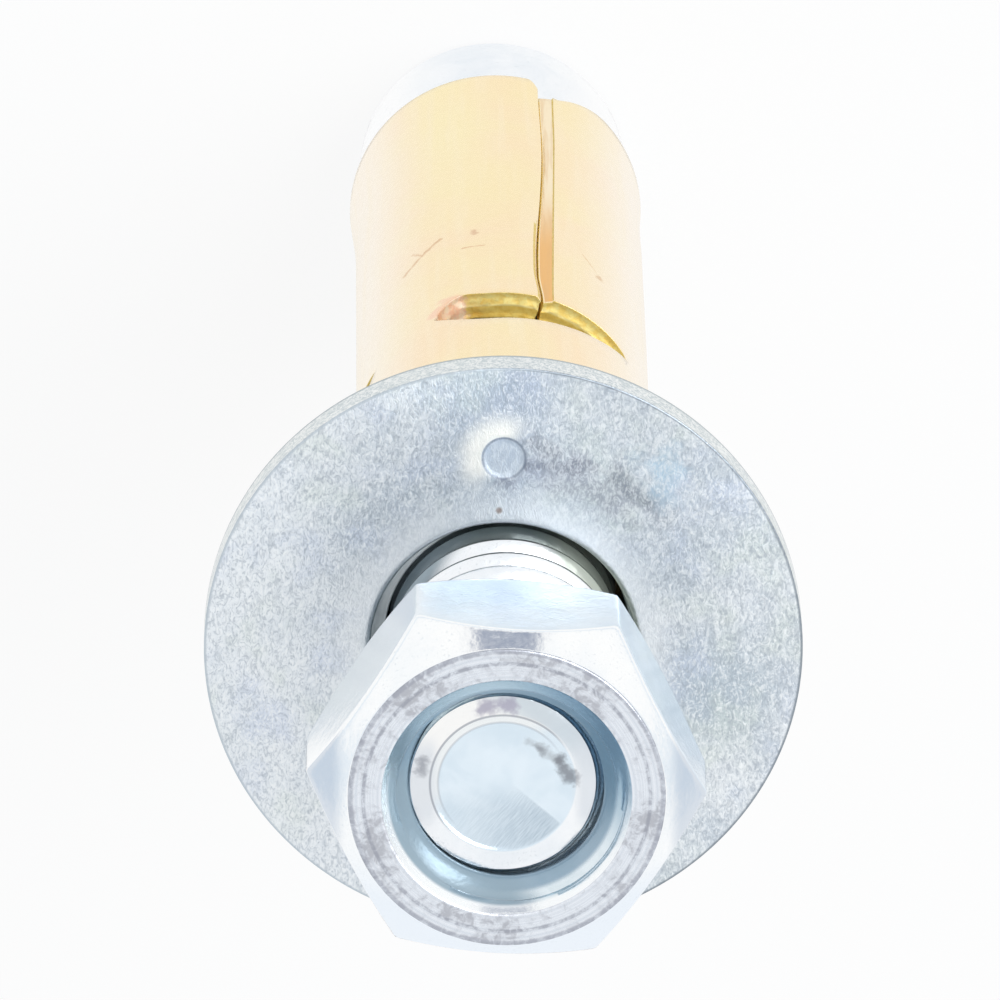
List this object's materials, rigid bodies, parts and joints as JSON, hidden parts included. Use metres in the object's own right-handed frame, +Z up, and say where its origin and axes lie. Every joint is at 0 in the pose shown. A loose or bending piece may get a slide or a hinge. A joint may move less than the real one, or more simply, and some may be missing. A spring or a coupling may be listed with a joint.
{
  "type": "wall plug",
  "caption": "Steel sleeve-type wall plug: coned stud, split expansion sleeve, flat washer and hex nut.",
  "frame": {"origin": "centre of the cone's flat end, on the stud's axis, which the plug stands on", "axes": "+Z up the stud's axis from the cone to the nut; -Y is the front, towards the slit nearest the reader; +X to the right seen from the front"},
  "size_m": [0.025, 0.025, 0.0778],
  "materials": {
    "bright_zinc_stud": "zinc plated steel, bright, cold formed",
    "yellow_zinc_sleeve": "yellow passivated zinc on rolled steel strip, satin",
    "blue_zinc_washer": "zinc plated steel, fine grain, slight bluish and yellow stain",
    "bright_zinc_nut": "bright zinc plated steel, worn and mottled on the front face"
  },
  "bodies": {
    "stud": {"cone_stud": "bright_zinc_stud", "expansion_sleeve": "yellow_zinc_sleeve"},
    "washer": {"flat_washer": "blue_zinc_washer"},
    "nut": {"hex_nut": "bright_zinc_nut"}
  },
  "joints": [
    {"name": "nut_turn", "type": "hinge", "parent": "stud", "child": "washer", "pos_m": [0, 0, 0.0601], "axis": [0, 0, 1], "range_deg": [-2222.36, 720]},
    {"name": "nut_travel", "type": "slide", "parent": "washer", "child": "nut", "axis": [0, 0, 1], "range_m": [-0.00981, 0.00318]}
  ],
  "couplings": [
    {"joint": "nut_travel", "follows": "nut_turn", "m_per_rad": 0.00025266}
  ]
}
